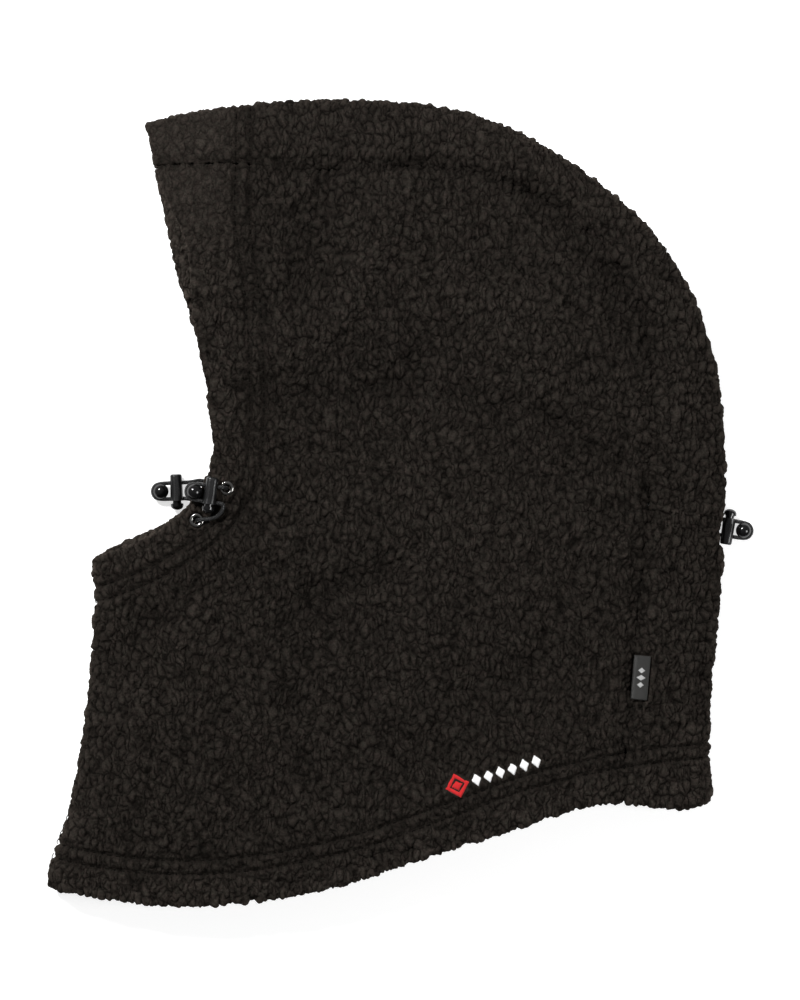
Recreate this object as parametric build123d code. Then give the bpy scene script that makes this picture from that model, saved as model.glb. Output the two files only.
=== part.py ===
"""Sherpa-fleece balaclava hood, laid flat on its right side as it is packed or stored.

Frame, in millimetres: +X runs from the face opening towards the back of the head, +Y from the neck
hem towards the crown, +Z up from the table. The origin is under the middle of the fleece body, on
the table. The hood is folded along its centre line: the left side of the hood is the upper layer,
the right side is the lower layer, and the crown panel wraps around the fold between them.
"""
from build123d import *
import math
import os

import numpy as np

# ---------------------------------------------------------------- driving dimensions
BODY_HEIGHT = 37.0        # table to the top of the puffed upper layer
FOLD_HEIGHT = 10.0        # height of the fold line, where the body is widest
FLEECE = 4.5              # one layer of pile fleece
HEM_WALL = 8.5            # panel and its turned-in hem together
THREAD_DEPTH = 0.6        # how deep the seam thread lies in the pile
EDGE_ROLL = 110.0         # distance over which the upper layer rises to its full height
ROLL_POWER = 2.6          # fullness of that rise
NOMINAL_RADIUS = 190.0    # converts an inset from the outline into a scale factor
CENTRE = (0.0, -20.0)     # point that the outline shrinks towards

CORD_RADIUS = 1.0
CORD_HOLE_RADIUS = 1.15   # cross holes in the lock
CORD_DEPTH = 6.2          # middle of the hem channel, below the outer face

BARREL_LENGTH = 13.4
BARREL_OPEN = (6.4, 8.4)      # section at the open end: along the cord, and across it
BARREL_CLOSED = (5.8, 6.6)    # section at the closed end
BARREL_FLOOR = 0.9
CLOSED_CORNER = 2.2           # corner radii of those two sections
OPEN_CORNER = 2.6
BARREL_EDGE = 1.0             # rounding of the closed end
RIB_SPACING = 1.3             # between the finger grooves in the barrel's two broad faces
RIB_GROOVE = (0.6, 0.7)       # their width and depth
RIB_REACH = 3.95              # their distance from the barrel's axis
RIB_TILT = 2.2                # degrees, the slope of the barrel's faces
RIB_MARGIN = 2.5              # plain length at each end of the grooves
BORE_RADIUS = 2.4
STEM_RADIUS = 2.32            # running clearance 0.08 in the bore
STEM_START = 2.6              # above the closed end, at rest
PRESS_TRAVEL = 1.2
HEAD_START = 14.8
HEAD_RADIUS = 3.2
HEAD_RIM = 1.1                # straight part of the head under its dome
HEAD_DOME = 0.68              # height of the dome over its radius
SPRING_WIRE = 0.15            # radius
SPRING_RADIUS = 1.7
SPRING_TURNS = 2.5
LOWER_HOLE = 4.35             # distances from the barrel's closed end
UPPER_HOLE = 12.35
HOLE_SPACING = UPPER_HOLE - LOWER_HOLE
LOCK_MIDDLE = (LOWER_HOLE + UPPER_HOLE) / 2
BEAD_RADIUS = 4.0
BEAD_GAP = 0.8                # between the barrel and the bead
BEAD_OFFSET = BARREL_OPEN[0] / 2 + BEAD_GAP + BEAD_RADIUS
GROOVE_CLEARANCE = 0.05
LOCK_REST = 4.4               # height of the cord plane above what the lock lies on

EYELET_HOLE = 1.7
EYELET_TUBE = 2.15
EYELET_FLANGE = 3.75
EYELET_LIP = 0.5
WASHER_HOLE = 2.2

LABEL_WIDTH = 8.5
LABEL_LENGTH = 22.0
LABEL_THICKNESS = 0.9
LABEL_GAP = 0.5
LABEL_SEWN_X = 122.2          # the sewn edge, and the label's middle
LABEL_MIDDLE_Y = -88.0
LABEL_YAW = -3.0              # degrees

MARK_ANGLE = 17.0             # embroidery: its slope in degrees, and where it starts
MARK_START = (32.0, -142.5)
MARK_RAISED = 0.8
EMBLEM_PLACE = 2.5            # along the mark
EMBLEM_SIZE = (12.0, 12.0)
ROW_PLACE = 12.5
ROW_STEP = 6.2
ROW_COUNT = 6
ROW_SIZE = (4.4, 6.6)

ABOVE = BODY_HEIGHT + 8.0     # height that clears the whole body
BELOW = -2.0

# Closed outline of the filled body. Between the brim and the chin, and below the hem, it runs on
# past the fabric, and the two openings are cut out of it.
OUTLINE = [
    (-121.5, 189.5), (-96, 195.5), (-60, 199.5), (-14, 200.5), (46, 192.5), (95.5, 166.5),
    (131, 136), (156.5, 93.5), (168, 40), (168.8, -5), (166.5, -51.5), (161.5, -100),
    (161.5, -131.5), (161.5, -155), (146, -190), (100, -220), (40, -240), (-40, -252),
    (-110, -250), (-155, -228), (-170.5, -190), (-162.5, -165), (-156, -136.5), (-150.5, -100),
    (-147.5, -60), (-148.5, -30), (-158, 0), (-166, 40), (-165, 90), (-155, 135), (-140, 170),
]
# Edges of the face opening, from above the brim to below the chin. The upper layer is set back.
UPPER_FACE_EDGE = [
    (-140, 215), (-121.5, 188), (-116, 168), (-110, 150), (-99.5, 127), (-96.5, 95), (-92, 69.5),
    (-87.5, 38), (-88.5, 13), (-94, 3.5), (-110.5, -14), (-133, -25), (-147.5, -30), (-175, -42),
]
LOWER_FACE_EDGE = [
    (-140, 215), (-121.5, 188), (-117, 165), (-112.5, 145), (-103.5, 108), (-96.5, 86),
    (-92, 69.5), (-87.5, 38), (-88.5, 13), (-94, 3.5), (-110.5, -12), (-133, -22),
    (-147.5, -30), (-175, -42),
]
NECK_EDGE = [
    (-190, -191), (-169, -194.5), (-144, -198), (-119.5, -201), (-65, -199.5), (-16.5, -189.5),
    (21.5, -176.5), (67, -162), (98, -152.5), (123, -151), (150, -154), (162, -151), (190, -144),
]
FACE_HEM_LINE = [
    (-69, 225), (-69, 170), (-69, 138.5), (-64, 102.5), (-62, 70), (-62, 32.5), (-65, 10),
    (-74, -7.5), (-85.5, -20.5), (-114, -39), (-145.5, -51), (-180, -62),
]
NECK_HEM_LINE = [
    (-190, -167), (-162, -173), (-118, -179), (-71, -177.5), (-18, -167), (29, -151),
    (70, -136.5), (117, -126), (161, -121.5), (190, -119),
]
CROWN_SEAM = [
    (-170, 166), (-118, 167), (-71.5, 167.5), (-41.5, 164.5), (-4, 166), (31, 165.5), (70, 154),
    (99.5, 135), (123, 102.5), (130, 73.5), (130, 3), (126.5, -35), (123, -73.5), (120.5, -100),
    (118.5, -126), (117, -146.5), (113, -270),
]
TWIN_NEEDLE = 7.0         # between the two rows of a cover-stitched hem
THREAD_WIDTH = 0.9

# Cord stations: middle of the lock, and the direction from the bead towards the fabric.
STATIONS = {
    "left": {"middle": (-88.0, 3.0), "towards_fabric": -8.4},
    "right": {"middle": (-106.6, 4.65), "towards_fabric": 2.4},
    "rear": {"middle": (171.3, -14.15), "towards_fabric": 171.2},
}
LEFT_EYELETS = [(-80.1, 5.9), (-95.0, -10.0)]
RIGHT_EYELETS = [(-83.0, 5.5), (-95.0, -10.0)]
REAR_POCKET_FLOOR = 5.3    # from the rear lock's middle towards the fabric
REAR_POCKET = (12, 19, 22)          # along the cords, across them, and in height
REAR_POCKET_DROP = 3.0
REAR_POCKET_CORNER = 3.0
UNDERSIDE_POCKET = 3.4     # depth of the hollow that the right eyelets press into the fleece
UNDERSIDE_POCKET_MIDDLE = (-89, -2)
UNDERSIDE_POCKET_SIZE = (26, 36)
UNDERSIDE_POCKET_CORNER = 5.0
RIGHT_TUBE = 2.6           # lengths of the eyelets' tubes
REAR_TUBE = 2.2
CHANNEL_WIDTH = 16.0       # rear channel tape
CHANNEL_DEPTH = 2.5
CHANNEL_REACH = 45.3       # from the rear lock's middle
CHANNEL_STITCH_START = 5.2
CHANNEL_STITCH_LENGTH = 45.0
FRONT_SEAM_MIDDLE = (-160, -115)    # seam of the front of the neck, along the fold
FRONT_SEAM_SIZE = (50, 170)

LOOP_START = 3.0           # how far inside its eyelet a left loop begins
RIGHT_LOOP_START = 1.8
LOW_CORD = 1.3             # height of the right loop under the pressed-in fleece
REAR_LOOP_START = 6.1      # from the rear lock's middle
EXIT_RADIUS = 2.4
LEFT_BENDS = [2.4, 3.0, 3.6, 2.0]
RIGHT_FIRST_BENDS = [2.0, 6.0, 6.0]
RIGHT_LAST_BENDS = [3.0, 3.6, 2.0]
EYELET_BENDS = (2.0, 1.4)  # hidden drawcords, behind a left and behind a right eyelet
RIGHT_BEND_HEIGHT = 7.2
REAR_BEND = 1.5
BRIM_LINE = [(-73, 35), (-76, 70), (-81, 105), (-88, 138), (-93, 163), (-93, 180)]
CHIN_LINE = [(-112, -25), (-133, -36)]
BRIM_FOLD_ANGLE = 113.6    # where the drawcords cross the fold, in degrees around CENTRE
CHIN_FOLD_ANGLE = 187.6


# ---------------------------------------------------------------- body surfaces
def section_profile(depth):
    """Insets and heights of the sections of the closed surface that lies `depth` inside the body."""
    rim = FOLD_HEIGHT - depth
    profile = []
    for angle in (90, 62, 36, 16):
        turn = math.radians(angle)
        profile.append((depth + rim * (1 - math.cos(turn)), FOLD_HEIGHT - rim * math.sin(turn)))
    profile.append((depth, FOLD_HEIGHT))
    rise = BODY_HEIGHT - depth - FOLD_HEIGHT
    for share in (0.008, 0.035, 0.09, 0.18, 0.32, 0.52, 0.75, 1.0):
        height = FOLD_HEIGHT + rise * math.sqrt(1 - (1 - share) ** ROLL_POWER)
        profile.append((depth + (EDGE_ROLL - depth) * share, height))
    return profile


def outline_wire(inset, height):
    """The outline shrunk by about `inset`, at `height`."""
    scale = 1 - inset / NOMINAL_RADIUS
    points = []
    for x, y in OUTLINE:
        shrunk_x = CENTRE[0] + (x - CENTRE[0]) * scale
        shrunk_y = CENTRE[1] + (y - CENTRE[1]) * scale
        points.append((shrunk_x, shrunk_y, height))
    return Wire([Spline(*points, periodic=True)])


def body_at(depth):
    """Closed solid bounded by the surface that lies `depth` inside the body's outer face."""
    wires = [outline_wire(inset, height) for inset, height in section_profile(depth)]
    return Part() + Solid.make_loft(wires, True)


OUTLINE_RING = [outline_wire(0, 0).position_at(step / 720) for step in range(720)]
RING_ANGLES = np.array([math.atan2(p.Y - CENTRE[1], p.X - CENTRE[0]) for p in OUTLINE_RING])
RING_RADII = np.array([math.hypot(p.X - CENTRE[0], p.Y - CENTRE[1]) for p in OUTLINE_RING])
RING_ORDER = np.argsort(RING_ANGLES)


def outline_radius(angle):
    """Distance from CENTRE to the outline in the direction `angle`, in radians."""
    angles = RING_ANGLES[RING_ORDER]
    radii = RING_RADII[RING_ORDER]
    return float(np.interp(angle, angles, radii, period=2 * math.pi))


def upper_height(x, y, depth=0.0):
    """Height of the upper layer's surface `depth` inside the body, above the point (x, y)."""
    reach = math.hypot(x - CENTRE[0], y - CENTRE[1])
    angle = math.atan2(y - CENTRE[1], x - CENTRE[0])
    inset = NOMINAL_RADIUS * (1 - reach / outline_radius(angle))
    upper = [pair for pair in section_profile(depth) if pair[1] >= FOLD_HEIGHT]
    return float(np.interp(inset, [pair[0] for pair in upper], [pair[1] for pair in upper]))


def fold_point(angle, depth):
    """Point on the fold line, `depth` inside the body, in the direction `angle` in degrees."""
    turn = math.radians(angle)
    reach = outline_radius(turn) * (1 - depth / NOMINAL_RADIUS)
    return (CENTRE[0] + reach * math.cos(turn), CENTRE[1] + reach * math.sin(turn), FOLD_HEIGHT)


# ---------------------------------------------------------------- cutting tools
def region(edge_points, *corners):
    """Face bounded by a smooth edge and by straight lines through `corners` back to its start."""
    edge = Spline(*edge_points)
    sides = Polyline(edge_points[-1], *corners, edge_points[0])
    return make_face(Wire([edge, *sides.edges()]))


def prism(face, low=BELOW, high=ABOVE):
    return extrude(Pos(0, 0, low) * face, amount=high - low, dir=(0, 0, 1))


def parallel(points, distance):
    """Smooth line at `distance` to the left of the spline through `points`."""
    edge = Spline(*points)
    moved = []
    for step in range(2 * len(points) + 1):
        share = step / (2 * len(points))
        here = edge.position_at(share)
        ahead = edge.tangent_at(share)
        moved.append((here.X - distance * ahead.Y, here.Y + distance * ahead.X))
    return moved


def thread_lines(*lines):
    """Upright blades that cut narrow strips along the given lines."""
    blades = Part()
    for points in lines:
        blades += prism(trace(Spline(*points), THREAD_WIDTH))
    return blades


def slab(low, high):
    return Pos(0, 0, (low + high) / 2) * Box(500, 600, high - low)


# ---------------------------------------------------------------- cords
def tube(points, radii=None, name=""):
    """Round cord along straight runs joined by arcs, checked against its section times its length."""
    corners = [Vector(*point) for point in points]
    allowed = []
    for before, here, after in zip(corners, corners[1:], corners[2:]):
        turn = math.radians((here - before).get_angle(after - here))
        shorter = min((here - before).length, (after - here).length)
        allowed.append(0.45 * shorter / math.tan(turn / 2))
    if radii:
        allowed = [chosen or free for chosen, free in zip(radii, allowed)]
    path = FilletPolyline(*corners, radius=allowed)
    return swept(path.edges(), name, allowed)


def swept(edges, name, radii):
    path = Wire(edges)
    section = Plane(origin=path.position_at(0), z_dir=path.tangent_at(0)) * Circle(CORD_RADIUS)
    solid = sweep(section, path=path)
    expected = math.pi * CORD_RADIUS ** 2 * path.length
    rounded = ", ".join(f"{radius:.1f}" for radius in radii)
    print(f"{name}: length {path.length:.1f}, radii {rounded}")
    print(f"    volume {solid.volume:.1f}, and section times length {expected:.1f}")
    return solid


def looped(before, after, middle, name, before_radii, after_radii):
    """A strand to the bead, half a turn round its groove, and the strand back."""
    first = FilletPolyline(*[Vector(*p) for p in before], radius=before_radii)
    last = FilletPolyline(*[Vector(*p) for p in after], radius=after_radii)
    arc = ThreePointArc(Vector(*before[-1]), Vector(*middle), Vector(*after[0]))
    radii = [*before_radii, HOLE_SPACING / 2, *after_radii]
    return swept([*first.edges(), arc.edge(), *last.edges()], name, radii)


def station_point(station, along, across, height):
    """World point `along` the line towards the fabric and `across` it towards the plunger."""
    turn = math.radians(station["towards_fabric"])
    x = station["middle"][0] + along * math.cos(turn) + across * math.sin(turn)
    y = station["middle"][1] + along * math.sin(turn) - across * math.cos(turn)
    return (x, y, height)


def station_plane(station, height):
    """Local x runs towards the fabric, local y from the lock's closed end to its plunger."""
    turn = math.radians(station["towards_fabric"])
    origin = (*station["middle"], height)
    return Plane(origin=origin, x_dir=(math.cos(turn), math.sin(turn), 0), z_dir=(0, 0, -1))


# ---------------------------------------------------------------- cord lock, plunger, spring, bead
def along_lock(distance):
    """Plane across the lock, `distance` from its closed end, with local x along the cords."""
    return Plane(origin=(0, distance - LOCK_MIDDLE, 0), x_dir=(1, 0, 0), z_dir=(0, 1, 0))


def cross_slot(start, end, half_width, reach=12.0):
    """Round-ended slot along the cords, from `start` to `end` on the lock's axis."""
    slot = Part()
    for place in (start + half_width, end - half_width):
        slot += Pos(0, place - LOCK_MIDDLE, 0) * Rot(0, 90, 0) * Cylinder(half_width, reach)
    middle = (start + end) / 2 - LOCK_MIDDLE
    length = end - start - 2 * half_width
    if length > 0.01:
        slot += Pos(0, middle, 0) * Box(reach, length, 2 * half_width)
    return slot


def lock_barrel():
    closed = along_lock(0) * RectangleRounded(*BARREL_CLOSED, CLOSED_CORNER)
    opened = along_lock(BARREL_LENGTH) * RectangleRounded(*BARREL_OPEN, OPEN_CORNER)
    barrel = loft([closed.face(), opened.face()])
    end_edges = barrel.edges().filter_by_position(Axis.Y, -LOCK_MIDDLE - 0.1, -LOCK_MIDDLE + 0.1)
    barrel = fillet(end_edges, BARREL_EDGE)
    groove = Box(RIB_GROOVE[0], BARREL_LENGTH - 2 * RIB_MARGIN, RIB_GROOVE[1])
    middle = BARREL_LENGTH / 2 - LOCK_MIDDLE
    for side in (-1, 1):
        for offset in (-RIB_SPACING, 0, RIB_SPACING):
            barrel -= Pos(offset, middle, side * RIB_REACH) * Rot(side * RIB_TILT, 0, 0) * groove
    bore = along_lock(BARREL_FLOOR) * Circle(BORE_RADIUS)
    barrel -= extrude(bore, amount=BARREL_LENGTH, dir=(0, 1, 0))
    hole = CORD_HOLE_RADIUS
    barrel -= cross_slot(LOWER_HOLE - hole, LOWER_HOLE + hole, hole)
    barrel -= cross_slot(UPPER_HOLE - hole, BARREL_LENGTH + 3 * hole, hole)
    return barrel


def lock_plunger():
    stem = along_lock(STEM_START) * Circle(STEM_RADIUS)
    plunger = extrude(stem, amount=HEAD_START - STEM_START + 0.2, dir=(0, 1, 0))
    head = along_lock(HEAD_START) * Circle(HEAD_RADIUS)
    plunger += extrude(head, amount=HEAD_RIM, dir=(0, 1, 0))
    dome_place = HEAD_START + HEAD_RIM - LOCK_MIDDLE
    dome = Pos(0, dome_place, 0) * scale(Sphere(HEAD_RADIUS), by=(1, HEAD_DOME, 1))
    plunger += dome & Pos(0, dome_place + 5, 0) * Box(10, 10, 10)
    hole = CORD_HOLE_RADIUS
    for centre in (LOWER_HOLE, UPPER_HOLE):
        plunger -= cross_slot(centre - hole, centre + hole + PRESS_TRAVEL, hole)
    return plunger


def lock_spring():
    gap = 0.05
    length = STEM_START - BARREL_FLOOR - 2 * (SPRING_WIRE + gap)
    coil = Helix(pitch=length / SPRING_TURNS, height=length, radius=SPRING_RADIUS)
    wire = sweep(Plane(origin=coil @ 0, z_dir=coil % 0) * Circle(SPRING_WIRE), path=coil)
    return along_lock(BARREL_FLOOR + SPRING_WIRE + gap) * wire


def cord_bead():
    groove = Torus(HOLE_SPACING / 2, CORD_RADIUS + GROOVE_CLEARANCE)
    return Pos(-BEAD_OFFSET, 0, 0) * (Sphere(BEAD_RADIUS) - groove)


# ---------------------------------------------------------------- eyelets
def eyelet(length):
    """Crimped ring; its lip's outer face is at z = EYELET_LIP and its tube runs down through z = 0."""
    lip = Circle(EYELET_FLANGE) - Circle(EYELET_HOLE)
    tube_ring = Circle(EYELET_TUBE) - Circle(EYELET_HOLE)
    ring = extrude(lip, amount=EYELET_LIP)
    ring = fillet(ring.edges().group_by(Axis.Z)[-1], 0.2)
    return ring + extrude(Pos(0, 0, -length) * tube_ring, amount=length)


def washer():
    return extrude(Circle(EYELET_FLANGE) - Circle(WASHER_HOLE), amount=EYELET_LIP)


def group(shapes):
    return Compound(children=[solid for shape in shapes for solid in shape.solids()])


# ---------------------------------------------------------------- fleece body
outer = body_at(0)
face_cut = prism(region(UPPER_FACE_EDGE, (-260, -42), (-260, 215)), low=FOLD_HEIGHT)
face_cut += prism(region(LOWER_FACE_EDGE, (-260, -42), (-260, 215)), high=FOLD_HEIGHT)
neck_cut = prism(region(NECK_EDGE, (190, -300), (-190, -300)))
openings = face_cut + neck_cut
face_hem = prism(region(FACE_HEM_LINE, (-260, -62), (-260, 225)))
neck_hem = prism(region(NECK_HEM_LINE, (190, -300), (-190, -300)))
beyond_crown_seam = prism(region(CROWN_SEAM, (300, -270), (300, 300), (-170, 300)))

single_layer_inside = body_at(FLEECE) - face_hem - neck_hem
shell = outer - body_at(HEM_WALL) - single_layer_inside - openings
crown_panel = shell & beyond_crown_seam
sides = shell - beyond_crown_seam
left_side_panel = sides & slab(FOLD_HEIGHT, ABOVE)
right_side_panel = sides & slab(BELOW, FOLD_HEIGHT)

pile = outer - body_at(THREAD_DEPTH) - openings
face_hem_stitching = pile & thread_lines(FACE_HEM_LINE, parallel(FACE_HEM_LINE, -TWIN_NEEDLE))
neck_hem_stitching = pile & thread_lines(NECK_HEM_LINE, parallel(NECK_HEM_LINE, -TWIN_NEEDLE))
crown_seam_stitching = pile & thread_lines(CROWN_SEAM)
front_seam_stitching = pile & Pos(*FRONT_SEAM_MIDDLE, FOLD_HEIGHT) * Box(*FRONT_SEAM_SIZE, THREAD_WIDTH)

# ---------------------------------------------------------------- rear cord channel
rear = STATIONS["rear"]
rear_frame = Pos(*rear["middle"], 0) * Rot(0, 0, rear["towards_fabric"] - 180)
channel_box = Box(CHANNEL_REACH, CHANNEL_WIDTH, ABOVE, align=(Align.MAX, Align.CENTER, Align.MIN))
rear_cord_channel = (body_at(FLEECE) - body_at(FLEECE + CHANNEL_DEPTH)) & rear_frame * channel_box
stitch_blade = Box(CHANNEL_STITCH_LENGTH, THREAD_WIDTH, ABOVE, align=(Align.MAX, Align.CENTER, Align.MIN))
channel_edge = Part()
for side in (-1, 1):
    edge_place = side * (CHANNEL_WIDTH / 2 - THREAD_WIDTH)
    channel_edge += rear_frame * Pos(-CHANNEL_STITCH_START, edge_place, 0) * stitch_blade
rear_channel_stitching = pile & channel_edge

# ---------------------------------------------------------------- stations
left = STATIONS["left"]
right = STATIONS["right"]
left_height = upper_height(*left["middle"]) + LOCK_REST
heights = {"left": left_height, "right": LOCK_REST, "rear": LOCK_REST}

parts = {}
for side, station in STATIONS.items():
    plane = station_plane(station, heights[side])
    parts[f"{side}_lock_barrel"] = plane * lock_barrel()
    parts[f"{side}_lock_plunger"] = plane * lock_plunger()
    parts[f"{side}_lock_spring"] = plane * lock_spring()
    parts[f"{side}_cord_bead"] = plane * cord_bead()

half = HOLE_SPACING / 2
round_bead = -BEAD_OFFSET

# Left loop: up out of the upper eyelet, through the lock, round the bead, back through the lock,
# round the plunger's end and down into the lower eyelet.
left_seats = [upper_height(x, y) for x, y in LEFT_EYELETS]
top = left_height
left_first = [
    (*LEFT_EYELETS[0], left_seats[0] - LOOP_START),
    (*LEFT_EYELETS[0], top),
    station_point(left, round_bead, -half, top),
]
left_last = [
    station_point(left, round_bead, half, top),
    station_point(left, 7.9, half, top),
    station_point(left, 8.4, 8.8, top - 1.0),
    station_point(left, 4.2, 13.2, top - 1.9),
    (*LEFT_EYELETS[1], left_seats[1] + 2.4),
    (*LEFT_EYELETS[1], left_seats[1] - LOOP_START),
]
left_turn = station_point(left, round_bead - half, 0, top)
left_cord_loop = looped(left_first, left_last, left_turn, "left_cord_loop", [EXIT_RADIUS], LEFT_BENDS)

# Right loop: the same lock, lying on the table beside the lower layer, whose eyelets face down.
right_seat = UNDERSIDE_POCKET
right_first = [
    (*RIGHT_EYELETS[0], right_seat + RIGHT_LOOP_START),
    (*RIGHT_EYELETS[0], LOW_CORD),
    station_point(right, 13.0, -5.2, LOW_CORD),
    station_point(right, 7.8, -half, LOCK_REST),
    station_point(right, round_bead, -half, LOCK_REST),
]
right_last = [
    station_point(right, round_bead, half, LOCK_REST),
    station_point(right, 6.4, half, LOCK_REST),
    station_point(right, 10.4, 7.0, LOW_CORD),
    (*RIGHT_EYELETS[1], LOW_CORD),
    (*RIGHT_EYELETS[1], right_seat + RIGHT_LOOP_START),
]
right_turn = station_point(right, round_bead - half, 0, LOCK_REST)
right_cord_loop = looped(right_first, right_last, right_turn, "right_cord_loop",
                         RIGHT_FIRST_BENDS, RIGHT_LAST_BENDS)

# Rear loop: straight out of two eyelets in the fold, through the lock and round the bead.
rear_first = station_point(rear, REAR_LOOP_START, -half, LOCK_REST)
rear_last = station_point(rear, REAR_LOOP_START, half, LOCK_REST)
rear_entry = station_point(rear, round_bead, -half, LOCK_REST)
rear_exit = station_point(rear, round_bead, half, LOCK_REST)
rear_turn_point = station_point(rear, round_bead - half, 0, LOCK_REST)
rear_arc = ThreePointArc(rear_entry, rear_turn_point, rear_exit)
rear_edges = [Line(rear_first, rear_entry).edge(), rear_arc.edge(), Line(rear_exit, rear_last).edge()]
rear_cord_loop = swept(rear_edges, "rear_cord_loop", [half])

# ---------------------------------------------------------------- cord inside the hems
def in_upper_hem(x, y):
    return (x, y, upper_height(x, y, CORD_DEPTH))


def in_lower_hem(x, y):
    return (x, y, CORD_DEPTH)


def face_drawcord(which, hem_line, fold_angle, name):
    """Drawcord from a left eyelet, round the fold inside the hem, to the matching right eyelet."""
    left_eyelet = LEFT_EYELETS[which]
    right_eyelet = RIGHT_EYELETS[which]
    path = [
        (*left_eyelet, left_seats[which] - LOOP_START),
        (*left_eyelet, left_seats[which] - CORD_DEPTH),
    ]
    path += [in_upper_hem(x, y) for x, y in hem_line]
    path.append(fold_point(fold_angle, CORD_DEPTH))
    path += [in_lower_hem(x, y) for x, y in reversed(hem_line)]
    path.append((*right_eyelet, RIGHT_BEND_HEIGHT))
    path.append((*right_eyelet, right_seat + RIGHT_LOOP_START))
    radii = [EYELET_BENDS[0]] + [None] * (len(path) - 4) + [EYELET_BENDS[1]]
    return tube(path, radii, name)


face_drawcord_upper = face_drawcord(0, BRIM_LINE, BRIM_FOLD_ANGLE, "face_drawcord_upper")
face_drawcord_lower = face_drawcord(1, CHIN_LINE, CHIN_FOLD_ANGLE, "face_drawcord_lower")

channel_middle = FLEECE + CHANNEL_DEPTH / 2
fold_reach = rear["middle"][0] - fold_point(2.0, channel_middle)[0]
rear_up = station_point(rear, fold_reach, half, LOCK_REST)
over = [(rear_up[0], rear_up[1], FOLD_HEIGHT)]
under = []
for reach, inward in ((15, 0.4), (29, 1.4), (43, 2.0)):
    x, y, _ = station_point(rear, reach, half - inward, 0)
    over.append((x, y, upper_height(x, y, channel_middle)))
    under.append(station_point(rear, reach, inward - half, channel_middle))
left_bends = [REAR_BEND, None, None, None]
rear_drawcord_left = tube([rear_last, rear_up, *over], left_bends, "rear_drawcord_left")
rear_drawcord_right = tube([rear_first, *under], name="rear_drawcord_right")

# ---------------------------------------------------------------- eyelets and what they pass through
left_rings = []
left_washers = []
for (x, y), seat in zip(LEFT_EYELETS, left_seats):
    left_rings.append(Pos(x, y, seat) * eyelet(FLEECE + EYELET_LIP))
    left_washers.append(Pos(x, y, seat - FLEECE - EYELET_LIP) * washer())
    left_side_panel -= Pos(x, y, seat - CORD_DEPTH / 2 + 1) * Cylinder(WASHER_HOLE, CORD_DEPTH + 2)

pocket = Box(*UNDERSIDE_POCKET_SIZE, UNDERSIDE_POCKET - BELOW, align=(Align.CENTER, Align.CENTER, Align.MAX))
pocket = fillet(pocket.edges().filter_by(Axis.Z), UNDERSIDE_POCKET_CORNER)
pocket = Pos(*UNDERSIDE_POCKET_MIDDLE, UNDERSIDE_POCKET) * pocket
right_side_panel -= pocket
right_rings = []
right_washers = []
for x, y in RIGHT_EYELETS:
    right_rings.append(Pos(x, y, right_seat) * Rot(180, 0, 0) * eyelet(RIGHT_TUBE))
    right_washers.append(Pos(x, y, right_seat + RIGHT_TUBE - EYELET_LIP) * washer())
    right_side_panel -= Pos(x, y, right_seat + RIGHT_TUBE / 2) * Cylinder(WASHER_HOLE, RIGHT_TUBE)

rear_hollow = Pos(REAR_POCKET_FLOOR - REAR_POCKET[0] / 2, 0, -REAR_POCKET_DROP) * Box(*REAR_POCKET)
rear_hollow = fillet(rear_hollow.edges().filter_by(Axis.Z), REAR_POCKET_CORNER)
crown_panel -= station_plane(rear, LOCK_REST) * rear_hollow
rear_rings = []
rear_washers = []
for across in (-half, half):
    facing = station_plane(rear, LOCK_REST) * Pos(REAR_POCKET_FLOOR, across, 0) * Rot(0, -90, 0)
    rear_rings.append(facing * eyelet(REAR_TUBE))
    rear_washers.append(facing * Pos(0, 0, -REAR_TUBE) * washer())
    crown_panel -= facing * Pos(0, 0, -REAR_TUBE / 2) * Cylinder(WASHER_HOLE, REAR_TUBE)

# ---------------------------------------------------------------- label and embroidery
rise_left = upper_height(LABEL_SEWN_X, LABEL_MIDDLE_Y)
rise_right = upper_height(LABEL_SEWN_X + LABEL_WIDTH, LABEL_MIDDLE_Y)
label_slope = math.degrees(math.atan2(rise_right - rise_left, LABEL_WIDTH))
label_height = rise_left + LABEL_GAP
flat_label = Box(LABEL_WIDTH, LABEL_LENGTH, LABEL_THICKNESS, align=(Align.MIN, Align.CENTER, Align.MIN))
fold_edges = flat_label.edges().filter_by(Axis.Y).sort_by(Axis.X)[-2:]
flat_label = fillet(fold_edges, LABEL_THICKNESS * 0.45)
label_turn = Rot(0, -label_slope, 0) * Rot(0, 0, LABEL_YAW)
woven_label = Pos(LABEL_SEWN_X, LABEL_MIDDLE_Y, label_height) * label_turn * flat_label

raised_thread = body_at(-MARK_RAISED) - outer


def mark_shape(along, width, height):
    """Lozenge of raised thread, `along` millimetres from the start of the mark."""
    lozenge = Polygon((0, -height / 2), (width / 2, 0), (0, height / 2), (-width / 2, 0), align=None)
    placed = Pos(*MARK_START) * Rot(0, 0, MARK_ANGLE) * Pos(along, 0) * lozenge
    return raised_thread & prism(placed.face(), low=FOLD_HEIGHT)


embroidered_emblem = mark_shape(EMBLEM_PLACE, *EMBLEM_SIZE)
embroidered_row = group([mark_shape(ROW_PLACE + ROW_STEP * step, *ROW_SIZE) for step in range(ROW_COUNT)])

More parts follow.
